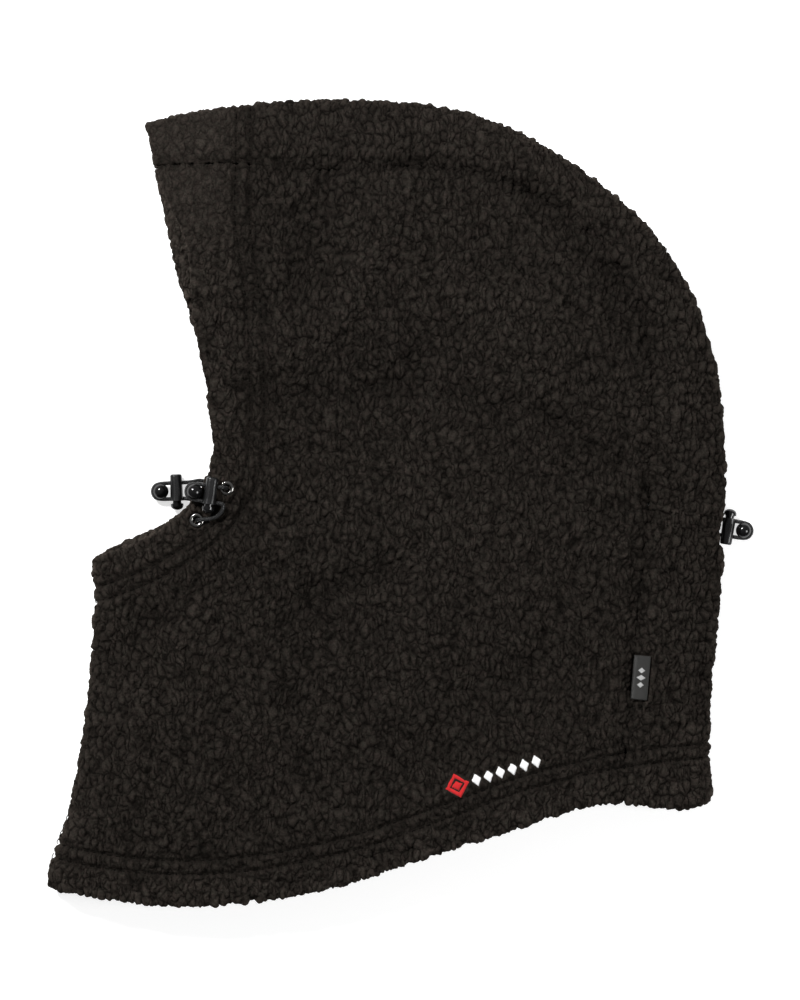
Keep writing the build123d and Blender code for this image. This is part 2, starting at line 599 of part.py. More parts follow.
# ---------------------------------------------------------------- write every piece
parts.update({
    "left_side_panel": left_side_panel,
    "right_side_panel": right_side_panel,
    "crown_panel": crown_panel,
    "rear_cord_channel": rear_cord_channel,
    "face_hem_stitching": group([face_hem_stitching]),
    "neck_hem_stitching": group([neck_hem_stitching]),
    "crown_seam_stitching": group([crown_seam_stitching]),
    "front_seam_stitching": group([front_seam_stitching]),
    "rear_channel_stitching": group([rear_channel_stitching]),
    "woven_label": woven_label,
    "embroidered_emblem": embroidered_emblem,
    "embroidered_row": embroidered_row,
    "face_drawcord_upper": face_drawcord_upper,
    "face_drawcord_lower": face_drawcord_lower,
    "rear_drawcord_left": rear_drawcord_left,
    "rear_drawcord_right": rear_drawcord_right,
    "left_cord_loop": left_cord_loop,
    "right_cord_loop": right_cord_loop,
    "rear_cord_loop": rear_cord_loop,
    "left_eyelets": group(left_rings),
    "right_eyelets": group(right_rings),
    "rear_eyelets": group(rear_rings),
    "left_eyelet_washers": group(left_washers),
    "right_eyelet_washers": group(right_washers),
    "rear_eyelet_washers": group(rear_washers),
})
os.makedirs("parts", exist_ok=True)
for name, shape in parts.items():
    export_step(shape, f"parts/{name}.step")

print("left station height", round(left_height, 3))
print("left eyelet seats", [round(seat, 3) for seat in left_seats])
print("label hinge", (LABEL_SEWN_X, LABEL_MIDDLE_Y), round(label_height, 3), "slope", round(label_slope, 2))
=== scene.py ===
"""Pile-fleece balaclava hood, laid flat on its side on a pale table, seen from straight above.

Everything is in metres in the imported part's own frame: +X towards the back of the head, +Y towards
the crown, +Z up from the table. The fleece pieces start as remeshed copies of the CAD shells, so they
sit exactly where the frame says, and get their undulations, seams and curly pile in code.
"""
import math

import bmesh
import bpy
import numpy as np
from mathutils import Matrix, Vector
from mathutils.bvhtree import BVHTree


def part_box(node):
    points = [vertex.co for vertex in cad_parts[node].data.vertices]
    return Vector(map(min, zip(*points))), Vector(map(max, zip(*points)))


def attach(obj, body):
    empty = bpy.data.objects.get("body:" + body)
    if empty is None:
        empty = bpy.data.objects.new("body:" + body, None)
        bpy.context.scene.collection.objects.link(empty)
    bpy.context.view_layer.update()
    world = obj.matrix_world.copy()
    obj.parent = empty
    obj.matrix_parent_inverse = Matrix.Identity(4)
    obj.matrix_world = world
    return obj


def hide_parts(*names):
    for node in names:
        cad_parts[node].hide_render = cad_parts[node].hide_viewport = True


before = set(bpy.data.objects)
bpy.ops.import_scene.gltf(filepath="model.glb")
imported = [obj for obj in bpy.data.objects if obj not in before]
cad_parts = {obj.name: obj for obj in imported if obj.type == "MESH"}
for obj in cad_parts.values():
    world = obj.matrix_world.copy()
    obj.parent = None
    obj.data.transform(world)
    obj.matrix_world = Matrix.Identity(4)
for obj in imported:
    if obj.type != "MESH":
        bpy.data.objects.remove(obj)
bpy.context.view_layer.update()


MM = 0.001

# ---------------------------------------------------------------- measures of the hood (millimetres)
FOLD_HEIGHT = 10.0
CROWN_SEAM = [
    (-170, 166), (-118, 167), (-71.5, 167.5), (-41.5, 164.5), (-4, 166), (31, 165.5), (70, 154),
    (99.5, 135), (123, 102.5), (130, 73.5), (130, 3), (126.5, -35), (123, -73.5), (120.5, -100),
    (118.5, -126), (117, -146.5), (113, -270),
]
FACE_HEM_LINE = [
    (-69, 225), (-69, 170), (-69, 138.5), (-64, 102.5), (-62, 70), (-62, 32.5), (-65, 10),
    (-74, -7.5), (-85.5, -20.5), (-114, -39), (-145.5, -51), (-180, -62),
]
NECK_HEM_LINE = [
    (-190, -167), (-162, -173), (-118, -179), (-71, -177.5), (-18, -167), (29, -151),
    (70, -136.5), (117, -126), (161, -121.5), (190, -119),
]
TWIN_NEEDLE = 7.0
CORD_DIAMETER = 2.0
BEAD_OFFSET = 8.0          # lock middle to bead middle
HOLE_HALF = 4.0            # half the distance between a lock's two cord holes
LOCK_REST = 4.4            # cord plane above what a lock lies on

STATIONS = {
    "left": {"middle": (-88.0, 3.0), "towards_fabric": -8.4},
    "right": {"middle": (-106.6, 4.65), "towards_fabric": 2.4},
    "rear": {"middle": (171.3, -14.15), "towards_fabric": 171.2},
}
for side, station in STATIONS.items():
    low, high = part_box(f"{side}_lock_barrel")
    station["plane"] = (low.z + high.z) / 2 / MM


# ---------------------------------------------------------------- camera
camera_data = bpy.data.cameras.new("camera")
camera = bpy.data.objects.new("camera", camera_data)
bpy.context.scene.collection.objects.link(camera)
CAMERA_HEIGHT = 2.2
SUBJECT_HEIGHT = 0.022      # the height at which the view is VIEW_TALL high
VIEW_TALL = 0.500
camera_data.sensor_width = 36.0
camera_data.lens = camera_data.sensor_width * (CAMERA_HEIGHT - SUBJECT_HEIGHT) / VIEW_TALL
camera_data.clip_end = 20
camera.location = (0.006, 0.0, CAMERA_HEIGHT)
bpy.context.scene.camera = camera


# ---------------------------------------------------------------- small helpers
def link(obj):
    bpy.context.scene.collection.objects.link(obj)
    return obj


def mesh_object(name, vertices, faces, smooth=True):
    mesh = bpy.data.meshes.new(name)
    mesh.from_pydata([tuple(v) for v in vertices], [], faces)
    mesh.update()
    if smooth:
        mesh.polygons.foreach_set("use_smooth", [True] * len(mesh.polygons))
    return link(bpy.data.objects.new(name, mesh))


def coordinates(mesh):
    flat = np.empty(len(mesh.vertices) * 3, np.float32)
    mesh.vertices.foreach_get("co", flat)
    return flat.reshape(-1, 3).astype(np.float64)


def smoothstep(low, high, value):
    share = np.clip((value - low) / (high - low), 0, 1)
    return share * share * (3 - 2 * share)


def spline_points(points, spacing=1.0):
    """Evenly spaced points on a smooth curve through `points` (Catmull-Rom), in millimetres."""
    fine = []
    padded = [points[0], *points, points[-1]]
    for a, b, c, d in zip(padded, padded[1:], padded[2:], padded[3:]):
        a, b, c, d = (np.array(p, float) for p in (a, b, c, d))
        for share in np.linspace(0, 1, 24, endpoint=False):
            t2, t3 = share ** 2, share ** 3
            fine.append(0.5 * (2 * b + (c - a) * share + (2 * a - 5 * b + 4 * c - d) * t2
                               + (3 * b - a - 3 * c + d) * t3))
    fine.append(np.array(points[-1], float))
    fine = np.array(fine)
    steps = np.r_[0, np.cumsum(np.linalg.norm(np.diff(fine, axis=0), axis=1))]
    count = max(2, int(steps[-1] / spacing))
    where = np.linspace(0, steps[-1], count)
    return np.stack([np.interp(where, steps, fine[:, k]) for k in range(fine.shape[1])], 1)


def offset_line(line, distance):
    """The line moved by `distance` to its left."""
    ahead = np.gradient(line, axis=0)
    ahead /= np.linalg.norm(ahead, axis=1)[:, None]
    return line + distance * np.stack([-ahead[:, 1], ahead[:, 0]], 1)


NEAR_LINE = 12.0           # beyond this, in millimetres, a distance to a line is only rough


def nearest_sample(xy, line):
    best = np.full(len(xy), 1e9)
    for start in range(0, len(xy), 20000):
        part = xy[start:start + 20000]
        gaps = ((part[:, None, :] - line[None, :, :]) ** 2).sum(2)
        best[start:start + 20000] = np.sqrt(gaps.min(1))
    return best


def distance_to_line(xy, line):
    """Distance in millimetres from each point to a finely sampled line."""
    skip = 8
    distance = nearest_sample(xy, line[::skip])
    step = np.linalg.norm(line[1] - line[0])
    near = distance < NEAR_LINE + skip * step
    distance[near] = nearest_sample(xy[near], line)
    return distance


CROWN_LINE = spline_points(CROWN_SEAM, 2.0)
FACE_LINES = [spline_points(FACE_HEM_LINE, 1.5)]
FACE_LINES.append(offset_line(FACE_LINES[0], -TWIN_NEEDLE))
NECK_LINES = [spline_points(NECK_HEM_LINE, 1.5)]
NECK_LINES.append(offset_line(NECK_LINES[0], -TWIN_NEEDLE))


# ---------------------------------------------------------------- materials
def new_material(name, colour, roughness=0.5, **inputs):
    material = bpy.data.materials.new(name)
    material.use_nodes = True
    shader = material.node_tree.nodes["Principled BSDF"]
    shader.inputs["Base Color"].default_value = (*colour, 1)
    shader.inputs["Roughness"].default_value = roughness
    for key, value in inputs.items():
        shader.inputs[key.replace("_", " ")].default_value = value
    return material


def add_node(material, kind, **settings):
    node = material.node_tree.nodes.new(kind)
    for key, value in settings.items():
        setattr(node, key, value)
    return node


def wire(material, source, output, target, socket):
    material.node_tree.links.new(source.outputs[output], target.inputs[socket])


def shader_of(material):
    return material.node_tree.nodes["Principled BSDF"]


def object_coordinates(material, scale=(1, 1, 1)):
    place = add_node(material, "ShaderNodeTexCoord")
    mapping = add_node(material, "ShaderNodeMapping")
    mapping.inputs["Scale"].default_value = scale
    wire(material, place, "Object", mapping, "Vector")
    return mapping


def noise_bump(material, scale, strength, distance, stretch=(1, 1, 1), detail=4.0):
    """A noise bump in the object's own space."""
    mapping = object_coordinates(material, stretch)
    texture = add_node(material, "ShaderNodeTexNoise")
    texture.inputs["Scale"].default_value = scale
    texture.inputs["Detail"].default_value = detail
    bump = add_node(material, "ShaderNodeBump")
    bump.inputs["Strength"].default_value = strength
    bump.inputs["Distance"].default_value = distance
    wire(material, mapping, "Vector", texture, "Vector")
    wire(material, texture, "Fac", bump, "Height")
    wire(material, bump, "Normal", shader_of(material), "Normal")


# ---------------------------------------------------------------- nodes for materials and shapes alike
def feed(tree, node, values):
    """Sets or links the node's first inputs, in order."""
    for socket, value in zip(node.inputs, values):
        if isinstance(value, bpy.types.NodeSocket):
            tree.links.new(value, socket)
        else:
            socket.default_value = value


def maths(tree, operation, *values, clamp=False):
    node = tree.nodes.new("ShaderNodeMath")
    node.operation = operation
    node.use_clamp = clamp
    feed(tree, node, values)
    return node.outputs[0]


def vector_maths(tree, operation, *values):
    node = tree.nodes.new("ShaderNodeVectorMath")
    node.operation = operation
    feed(tree, node, values)
    return node.outputs[0]


def scaled(tree, vector, factor):
    node = tree.nodes.new("ShaderNodeVectorMath")
    node.operation = "SCALE"
    tree.links.new(vector, node.inputs[0])
    node.inputs["Scale"].default_value = factor
    return node.outputs[0]


def colour_mix(tree, blend, factor, first, second):
    node = tree.nodes.new("ShaderNodeMix")
    node.data_type = "RGBA"
    node.blend_type = blend
    node.clamp_factor = False
    for socket, value in ((node.inputs[0], factor), (node.inputs[6], first), (node.inputs[7], second)):
        if isinstance(value, bpy.types.NodeSocket):
            tree.links.new(value, socket)
        else:
            socket.default_value = value
    return node.outputs[2]


def noise(tree, place, scale, detail=2.0):
    node = tree.nodes.new("ShaderNodeTexNoise")
    tree.links.new(place, node.inputs["Vector"])
    node.inputs["Scale"].default_value = scale
    node.inputs["Detail"].default_value = detail
    return node


def wobble(tree, place, size, reach):
    """A smooth random shift of up to about `reach` each way, over lengths of about `size`."""
    colour = noise(tree, place, 1 / size, detail=1.0).outputs["Color"]
    return scaled(tree, vector_maths(tree, "SUBTRACT", colour, (0.5, 0.5, 0.5)), 2 * reach)


def cells(tree, place, size, feature):
    """Voronoi cells of about `size`, along x, y and z."""
    node = tree.nodes.new("ShaderNodeTexVoronoi")
    node.feature = feature
    tree.links.new(vector_maths(tree, "DIVIDE", place, size), node.inputs["Vector"])
    node.inputs["Scale"].default_value = 1.0
    node.inputs["Randomness"].default_value = 0.85
    return node


def rounded(tree, value, reach, power):
    """0 at 0, rising steeply and then levelling off to 1 at `reach`."""
    left_over = maths(tree, "SUBTRACT", 1.0, maths(tree, "DIVIDE", value, reach, clamp=True))
    return maths(tree, "SUBTRACT", 1.0, maths(tree, "POWER", left_over, power))


# Sizes along x and y of the unrolled cloth, and z, in millimetres.
CREASE_SIZE = (3.9, 9.0, 20.0)   # from one crease between two curls to the next
TUFT_SIZE = (3.7, 5.9, 18.0)     # of the tufts that creases part crosswise
LUMP_SIZE = (2.2, 2.7, 9.0)      # of the lumps that a curl is made of
CREASE_REACH = 0.105             # how soon the noise leaves the crease's floor
TUFT_CRACK = 0.30                # in parts of a tuft
SOFTNESS = 1.5                   # of the cracks' sides
CURL_REACH = 0.95
LUMP_REACH = 0.85


def dome(tree, distance, reach, power):
    """1 at distance 0, falling to 0 at `reach`; a higher power gives a flatter top."""
    share = maths(tree, "DIVIDE", distance, reach, clamp=True)
    return maths(tree, "SUBTRACT", 1.0, maths(tree, "POWER", share, power))


def crease(tree, place, size, reach):
    """0 along wavy lines that are about `size` apart, levelling off to 1 between them."""
    level = noise(tree, vector_maths(tree, "DIVIDE", place, size), 1.0, detail=1.0).outputs["Fac"]
    gap = maths(tree, "ABSOLUTE", maths(tree, "SUBTRACT", level, 0.5))
    return rounded(tree, gap, reach, SOFTNESS), gap


def curl_pattern(tree, place):
    """For `place` in millimetres: how open the cracks are, the pile's height, and a curl's own tone."""
    bend = vector_maths(tree, "ADD", wobble(tree, place, 24.0, 3.0), wobble(tree, place, 5.0, 1.3))
    moved = vector_maths(tree, "ADD", place, bend)
    side, bulge = crease(tree, moved, CREASE_SIZE, CREASE_REACH)
    torn = vector_maths(tree, "ADD", moved, wobble(tree, place, 2.2, 0.7))
    edge = cells(tree, torn, TUFT_SIZE, "DISTANCE_TO_EDGE").outputs["Distance"]
    middle = cells(tree, torn, TUFT_SIZE, "F1")
    split = tree.nodes.new("ShaderNodeSeparateXYZ")
    tree.links.new(middle.outputs["Color"], split.inputs[0])
    tone = split.outputs[0]
    tuft = rounded(tree, edge, TUFT_CRACK, SOFTNESS)
    lump = cells(tree, torn, LUMP_SIZE, "F1").outputs["Distance"]
    uneven = noise(tree, place, 1 / 3.4, detail=1.0).outputs["Fac"]
    weight = maths(tree, "MULTIPLY_ADD", uneven, 3.2, -0.8, clamp=True)
    open_tuft = maths(tree, "MULTIPLY", maths(tree, "SUBTRACT", 1.0, tuft), weight)
    open_side = maths(tree, "MULTIPLY", maths(tree, "SUBTRACT", 1.0, side),
                      maths(tree, "MULTIPLY_ADD", weight, -0.45, 1.0))
    open_crack = maths(tree, "MAXIMUM", maths(tree, "MULTIPLY", open_tuft, 0.9), open_side)
    height = maths(tree, "MULTIPLY", dome(tree, middle.outputs["Distance"], CURL_REACH, 2.4),
                   maths(tree, "MULTIPLY_ADD", tone, 0.4, 0.3))
    height = maths(tree, "MULTIPLY_ADD", side, 0.30, height)
    height = maths(tree, "MULTIPLY_ADD", bulge, 1.0, height)
    height = maths(tree, "MULTIPLY_ADD", tuft, 0.18, height)
    height = maths(tree, "MULTIPLY_ADD", dome(tree, lump, LUMP_REACH, 1.8), 0.16, height)
    return open_crack, height, tone


def fleece_material():
    """Dark curly pile, brown-grey, with painted shade that makes it nearly black in the cracks between
    the curls.
    """
    material = new_material("pile_fleece", (0.017, 0.0145, 0.012), 0.95)
    shader = shader_of(material)
    shader.inputs["Specular IOR Level"].default_value = 0.0
    shader.inputs["Sheen Weight"].default_value = 0.02
    shader.inputs["Sheen Roughness"].default_value = 0.4
    shader.inputs["Sheen Tint"].default_value = (0.75, 0.64, 0.55, 1)
    tree = material.node_tree
    place = add_node(material, "ShaderNodeAttribute", attribute_name="rest_place").outputs["Vector"]
    strength = add_node(material, "ShaderNodeAttribute", attribute_name="pile_strength").outputs["Fac"]
    open_crack, height, tone = curl_pattern(tree, place)
    # Painted shade: where the cracks between the curls open, the colour goes towards a near-black crack
    # colour, standing in for the shade that falls there.
    open_crack = maths(tree, "MULTIPLY", open_crack, strength, clamp=True)
    shade = maths(tree, "SUBTRACT", 1.0, open_crack)
    shade = maths(tree, "MULTIPLY", shade, maths(tree, "MULTIPLY_ADD", tone, 0.2, 0.87))
    grain = noise(tree, place, 1 / 0.8, detail=2.0).outputs["Fac"]
    shade = maths(tree, "MULTIPLY", shade, maths(tree, "MULTIPLY_ADD", grain, 1.8, 0.1))
    # Painted light and shade stored on each fleece point: highlights on rims and hems, light on rises,
    # shade in hollows and along the seams.
    painted_light = add_node(material, "ShaderNodeAttribute", attribute_name="pile_painted_light").outputs["Fac"]
    shade = maths(tree, "MULTIPLY", shade, painted_light)
    crack_shade_colour = (0.0012, 0.0011, 0.0010, 1)
    nap_noise = noise(tree, place, 1 / 1.7, detail=3.0)
    nap = colour_mix(tree, "MIX", nap_noise.outputs["Fac"], (0.0146, 0.0150, 0.0120, 1),
                     (0.0240, 0.0174, 0.0155, 1))
    colour = colour_mix(tree, "MIX", shade, crack_shade_colour, nap)
    tree.links.new(colour, shader.inputs["Base Color"])
    fuzz = noise(tree, place, 1 / 1.0, detail=4.0)
    relief = maths(tree, "ADD", maths(tree, "MULTIPLY", height, 0.5),
                   maths(tree, "MULTIPLY", fuzz.outputs["Fac"], 1.1))
    bump = add_node(material, "ShaderNodeBump")
    bump.inputs["Strength"].default_value = 0.75
    bump.inputs["Distance"].default_value = 0.0008
    tree.links.new(relief, bump.inputs["Height"])
    tree.links.new(bump.outputs["Normal"], shader.inputs["Normal"])
    return material


FLEECE = fleece_material()


def thread_material(name, colour, sheen=0.3, gloss=0.3):
    material = new_material(name, colour, 0.75, Sheen_Weight=sheen, Specular_IOR_Level=gloss)
    noise_bump(material, 3000, 0.4, 0.0002, stretch=(1, 1, 1), detail=2)
    return material


SEAM_THREAD = thread_material("seam_thread", (0.0045, 0.004, 0.0035), 0.0, 0.0)
RED_THREAD = thread_material("red_thread", (0.46, 0.007, 0.009), 0.1)
LABEL_THREAD = thread_material("label_thread", (0.42, 0.42, 0.42), 0.2)
WHITE_THREAD = thread_material("white_thread", (0.72, 0.72, 0.72), 0.3)


def plastic_material(name, level, roughness, grain):
    material = new_material(name, (level, level, level * 1.05), roughness)
    shader_of(material).inputs["Specular IOR Level"].default_value = 0.4
    noise_bump(material, 900, grain, 0.0002, detail=5)
    return material


LOCK_PLASTIC = plastic_material("lock_plastic", 0.0040, 0.30, 0.3)
BEAD_PLASTIC = plastic_material("bead_plastic", 0.003, 0.16, 0.05)


def metal_material(name, colour, roughness):
    material = new_material(name, colour, roughness, Metallic=1.0)
    noise_bump(material, 1500, 0.08, 0.0001, detail=3)
    return material


NICKEL = metal_material("nickel", (0.20, 0.196, 0.188), 0.18)
SPRING_WIRE = metal_material("spring_wire", (0.5, 0.5, 0.5), 0.35)


def cord_material():
    """Braided elastic: two crossing wave patterns along and around the cord."""
    material = new_material("elastic_cord", (0.012, 0.012, 0.0125), 0.42)
    shader = shader_of(material)
    shader.inputs["Sheen Weight"].default_value = 0.02
    place = add_node(material, "ShaderNodeTexCoord")
    heights = []
    for turn in (0.9, -0.9):
        mapping = add_node(material, "ShaderNodeMapping")
        mapping.inputs["Rotation"].default_value = (0.3, 0.2, turn)
        wave = add_node(material, "ShaderNodeTexWave", wave_profile="SIN")
        wave.inputs["Scale"].default_value = 420
        wire(material, place, "Object", mapping, "Vector")
        wire(material, mapping, "Vector", wave, "Vector")
        heights.append(wave)
    both = add_node(material, "ShaderNodeMath", operation="MAXIMUM")
    material.node_tree.links.new(heights[0].outputs["Fac"], both.inputs[0])
    material.node_tree.links.new(heights[1].outputs["Fac"], both.inputs[1])
    bump = add_node(material, "ShaderNodeBump")
    bump.inputs["Strength"].default_value = 0.8
    bump.inputs["Distance"].default_value = 0.0004
    wire(material, both, "Value", bump, "Height")
    wire(material, bump, "Normal", shader, "Normal")
    ramp = add_node(material, "ShaderNodeValToRGB")
    ramp.color_ramp.elements[0].color = (0.0012, 0.0012, 0.0013, 1)
    ramp.color_ramp.elements[1].color = (0.0048, 0.0048, 0.0051, 1)
    wire(material, both, "Value", ramp, "Fac")
    wire(material, ramp, "Color", shader, "Base Color")
    return material


ELASTIC = cord_material()


# ---------------------------------------------------------------- free cords
def station_point(station, along, across, height):
    """World point (mm): `along` towards the fabric, `across` towards the plunger, from the lock."""
    turn = math.radians(station["towards_fabric"])
    x = station["middle"][0] + along * math.cos(turn) + across * math.sin(turn)
    y = station["middle"][1] + along * math.sin(turn) - across * math.cos(turn)
    return (x, y, height)


def round_the_bead(station, height):
    """Corners of the polygon that touches the bead's groove, from one strand to the other."""
    reach = HOLE_HALF / math.cos(math.pi / 8)
    corners = []
    for angle in (-112.5, -157.5, 157.5, 112.5):
        turn = math.radians(angle)
        along = -BEAD_OFFSET + reach * math.cos(turn)
        corners.append(station_point(station, along, reach * math.sin(turn), height))
    return corners


def cord_curve(name, route):
    """Smooth cord through the neighbourhood of its route's points, which are in millimetres."""
    curve = bpy.data.curves.new(name, "CURVE")
    curve.dimensions = "3D"
    curve.bevel_depth = CORD_DIAMETER / 2 * MM
    curve.bevel_resolution = 5
    curve.resolution_u = 16
    curve.use_fill_caps = True
    spline = curve.splines.new("NURBS")
    spline.points.add(len(route) - 1)
    for point, place in zip(spline.points, route):
        point.co = (place[0] * MM, place[1] * MM, place[2] * MM, 1)
    spline.order_u = 3
    spline.use_endpoint_u = True
    cord = link(bpy.data.objects.new(name, curve))
    curve.materials.append(ELASTIC)
    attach(cord, "hood")
    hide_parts(name)
    return cord


LEFT_EYELETS = [(-80.1, 5.9), (-95.0, -10.0)]
RIGHT_EYELETS = [(-83.0, 5.5), (-95.0, -10.0)]
left_top = STATIONS["left"]["plane"]
left_seats = [left_top - LOCK_REST + 0.14, left_top - LOCK_REST - 0.59]

left = STATIONS["left"]
left_route = [
    (*LEFT_EYELETS[0], left_seats[0] - 3.0),
    (*LEFT_EYELETS[0], left_top),
    station_point(left, 3.0, -HOLE_HALF, left_top),
    *round_the_bead(left, left_top),
    station_point(left, 3.0, HOLE_HALF, left_top),
    station_point(left, 7.6, HOLE_HALF, left_top),
    station_point(left, 7.0, 8.0, left_top - 1.0),
    station_point(left, 4.0, 11.6, left_top - 1.9),
    (*LEFT_EYELETS[1], left_seats[1] + 2.4),
    (*LEFT_EYELETS[1], left_seats[1] - 3.0),
]
cord_curve("left_cord_loop", left_route)

right = STATIONS["right"]
LOW_CORD = 1.3
RIGHT_END = 5.2
right_route = [
    (*RIGHT_EYELETS[0], RIGHT_END),
    (*RIGHT_EYELETS[0], LOW_CORD),
    station_point(right, 13.0, -5.2, LOW_CORD),
    station_point(right, 7.8, -HOLE_HALF, LOCK_REST),
    station_point(right, -1.0, -HOLE_HALF, LOCK_REST),
    *round_the_bead(right, LOCK_REST),
    station_point(right, -1.0, HOLE_HALF, LOCK_REST),
    station_point(right, 6.4, HOLE_HALF, LOCK_REST),
    station_point(right, 10.4, 7.0, LOW_CORD),
    (*RIGHT_EYELETS[1], LOW_CORD),
    (*RIGHT_EYELETS[1], RIGHT_END),
]
cord_curve("right_cord_loop", right_route)

rear = STATIONS["rear"]
rear_route = [
    station_point(rear, 6.1, -HOLE_HALF, LOCK_REST),
    station_point(rear, -1.5, -HOLE_HALF, LOCK_REST),
    *round_the_bead(rear, LOCK_REST),
    station_point(rear, -1.5, HOLE_HALF, LOCK_REST),
    station_point(rear, 6.1, HOLE_HALF, LOCK_REST),
]
cord_curve("rear_cord_loop", rear_route)


# ---------------------------------------------------------------- fleece
def remeshed(name, voxel):
    """Even quad mesh of a CAD shell, with its hard edges rounded off."""
    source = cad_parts[name]
    obj = link(bpy.data.objects.new(name + "_work", source.data.copy()))
    remesh = obj.modifiers.new("remesh", "REMESH")
    remesh.mode = "VOXEL"
    remesh.voxel_size = voxel
    soften = obj.modifiers.new("soften", "SMOOTH")
    soften.factor = 0.5
    soften.iterations = int(round(5 * (0.001 / voxel) ** 2)) + 2
    evaluated = obj.evaluated_get(bpy.context.evaluated_depsgraph_get())
    mesh = bpy.data.meshes.new_from_object(evaluated)
    bpy.data.objects.remove(obj)
    mesh.materials.clear()
    return mesh


CURL_HEIGHT = 2.3       # millimetres
FUZZ_HEIGHT = 0.45
PILE_SINK = 1.0         # how far the cracks' floors lie inside the CAD surface
NEEDLE_DEPTH = 0.6
NEEDLE_WIDTH = 1.3      # half width of a row of stitches and of the crown seam's line
CROWN_GROOVE = (2.4, 4.5)   # depth and half width
MARK_LIFT = 1.1         # how far embroidery holds the pile up
# Painted light and shade: parts by which the pile's colour is made lighter or darker than its own colour,
# standing in for light and shade.
RIM_LIGHT = 1.0         # painted highlight where the pile turns over an edge
# painted highlight on the hems
HEM_LIGHT = 0.26
FOLD_LIGHT = 0.06       # painted light on rises and painted shade in hollows, per millimetre that the cloth rises or sinks
# painted shade along the rows of stitching and along the crown seam
NEEDLE_SHADE = 0.45
CROWN_SHADE = 0.25

MARK_ANGLE = 17.0
MARK_START = (32.0, -142.5)
MARKS = [(2.5, 12.0, 12.0)] + [(12.5 + 6.2 * step, 4.4, 6.6) for step in range(6)]


def along_mark(distance):
    turn = math.radians(MARK_ANGLE)
    return (MARK_START[0] + distance * math.cos(turn), MARK_START[1] + distance * math.sin(turn))


def mark_cover(xy):
    """1 under an embroidered lozenge, and 0 from a millimetre outside it."""
    turn = math.radians(MARK_ANGLE)
    cover = np.zeros(len(xy))
    for place, width, height in MARKS:
        middle = along_mark(place)
        along = (xy[:, 0] - middle[0]) * math.cos(turn) + (xy[:, 1] - middle[1]) * math.sin(turn)
        across = -(xy[:, 0] - middle[0]) * math.sin(turn) + (xy[:, 1] - middle[1]) * math.cos(turn)
        outside = np.abs(along) / (width / 2 + 1) + np.abs(across) / (height / 2 + 1)
        cover = np.maximum(cover, smoothstep(1.25, 0.95, outside))
    return cover


LABEL_SEWN = (121.5, -88.0, 33.6)     # middle of the label's sewn edge
LABEL_SIZE = (8.5, 22.0, 0.9)
LABEL_SLOPE = 10.26                     # degrees that the label falls towards the back
LABEL_YAW = -5.0
EYELET_FLANGE = 3.75


def label_cover(xy):
    """1 under the label, and 0 from a millimetre outside it."""
    turn = math.radians(LABEL_YAW)
    along = (xy[:, 0] - LABEL_SEWN[0]) * math.cos(turn) + (xy[:, 1] - LABEL_SEWN[1]) * math.sin(turn)
    across = -(xy[:, 0] - LABEL_SEWN[0]) * math.sin(turn) + (xy[:, 1] - LABEL_SEWN[1]) * math.cos(turn)
    beyond_x = np.abs(along - LABEL_SIZE[0] / 2) - LABEL_SIZE[0] / 2
    beyond_y = np.abs(across) - LABEL_SIZE[1] / 2
    return smoothstep(1.2, 0.2, np.maximum(beyond_x, beyond_y))


def eyelet_cover(xy):
    """1 under the flange of the lower left eyelet, 0.3 under the upper one, and 0 outside both."""
    cover = np.zeros(len(xy))
    for (x, y), share in zip(LEFT_EYELETS, (0.3, 1.0)):
        reach = np.hypot(xy[:, 0] - x, xy[:, 1] - y)
        cover = np.maximum(cover, share * smoothstep(EYELET_FLANGE + 0.9, EYELET_FLANGE - 0.2, reach))
    return cover


HEM_REACH = 20.0       # distance over which the painted highlight on a hem's pile grows towards its edge


def hem_cover(xy):
    """0 inside the rows of stitching, rising to 1 at the outer edge of a hem."""
    cover = np.zeros(len(xy))
    for line in (FACE_LINES[0], NECK_LINES[0]):
        ahead = np.gradient(line, axis=0)
        ahead /= np.linalg.norm(ahead, axis=1)[:, None]
        for start in range(0, len(xy), 20000):
            part = xy[start:start + 20000]
            nearest = np.argmin(((part[:, None, :] - line[None, ::4, :]) ** 2).sum(2), axis=1) * 4
            offset = part - line[nearest]
            outside = offset[:, 0] * ahead[nearest, 1] - offset[:, 1] * ahead[nearest, 0]
            here = cover[start:start + 20000]
            cover[start:start + 20000] = np.maximum(here, smoothstep(2.0, HEM_REACH, outside))
    return cover


FOLD_DEPTH = 1.3
# Folds of the slack upper layer, as strokes: x and y of each end, half width and rise in
# millimetres. FOLD_DEPTH multiplies every rise.
HOLLOWS = [
    (-29, 160, -44, 102, 8, -2.6), (-71, 150, -67, 94, 7, -1.5), (-68, 52, 4, 55, 11, -1.9),
    (4, 55, 30, 80, 9, -1.5), (38, 52, 84, 38, 7, -1.6), (84, 38, 114, 18, 7, -1.8),
    (-2, -36, -39, -48, 8, -2.6), (-44, -50, -48, -100, 9, -2.0), (-48, -100, -42, -140, 10, -1.3),
    (-139, -76, -104, -50, 9, -1.8), (8, -124, 74, -82, 12, -1.5), (-73, -4, -73, -8, 7, -2.0),
    (0, 166, 70, 153, 6, -1.2), (70, 153, 112, 108, 7, -2.2), (112, 108, 127, 74, 9, -2.6),
    (129, 4, 123, -72, 5, -1.0),
]
RIDGES = [
    (4, 150, -21, 92, 9, 2.0), (-21, 92, -58, 74, 9, 1.5), (-128, -112, -92, -58, 8, 1.6),
    (35, 100, 72, 72, 20, 1.6), (138, 52, 139, 24, 8, 1.5), (10, 0, 50, -20, 26, 1.2),
    (20, 190, 70, 176, 9, 1.4), (-139, -50, -138, -60, 7, 1.0), (150, -120, 152, -135, 8, 1.2),
]


